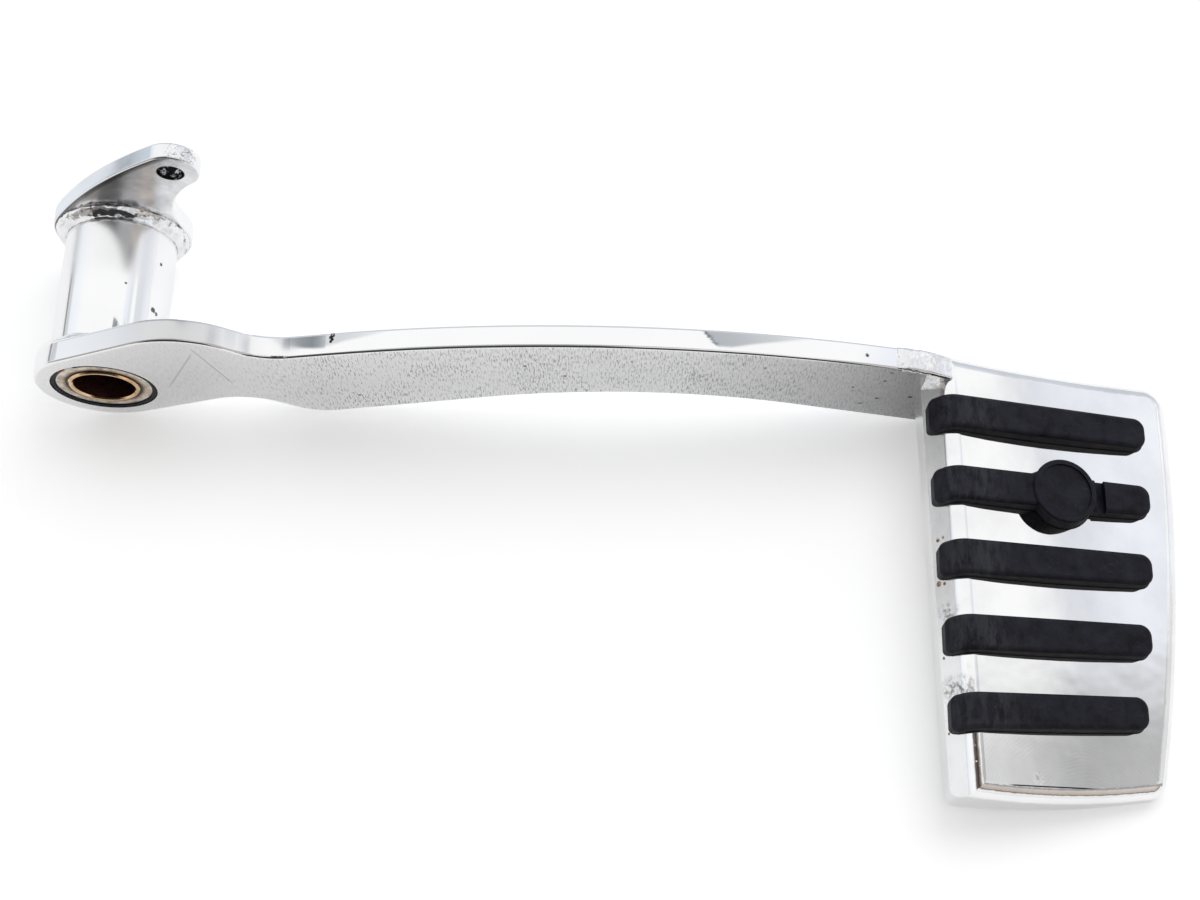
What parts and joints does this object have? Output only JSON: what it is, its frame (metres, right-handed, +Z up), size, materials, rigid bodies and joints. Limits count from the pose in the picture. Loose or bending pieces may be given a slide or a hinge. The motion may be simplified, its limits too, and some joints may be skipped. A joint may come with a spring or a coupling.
{
  "type": "rear brake pedal",
  "caption": "Foot brake lever: cranked flat bar with a bushed pivot tube, a crank plate with a rod hole and a wide foot pad with raised rubber ribs.",
  "frame": {"origin": "on the pivot axis, in the outboard face of the lever's eye", "axes": "+X along the arm from the pivot to the foot pad, +Y inboard along the pivot tube, +Z up, the side the foot presses"},
  "size_m": [0.2948, 0.1537, 0.0595],
  "materials": {
    "plated_bar": "bright plated, lightly pitted",
    "plated_tube": "bright plated",
    "plated_crank": "bright plated",
    "plated_weld": "rough plated bead",
    "bush_bronze": "worn bronze",
    "seal_rubber": "matte",
    "plated_pad": "bright plated, polishing swirls",
    "tread_rubber": "matte, dusty",
    "retainer_steel": "zinc plated",
    "screw_steel": "zinc plated"
  },
  "bodies": {
    "root": {"lever_bar": "plated_bar", "pivot_tube": "plated_tube", "crank_plate": "plated_crank", "eye_weld": "plated_weld", "crank_weld": "plated_weld", "pad_weld": "plated_weld", "outer_bush": "bush_bronze", "inner_bush": "bush_bronze", "outer_seal": "seal_rubber", "inner_seal": "seal_rubber", "pad_shell": "plated_pad", "rubber_tread": "tread_rubber", "retainer_plate": "retainer_steel", "retainer_screws": "screw_steel", "screw_washers": "screw_steel"}
  },
  "joints": []
}
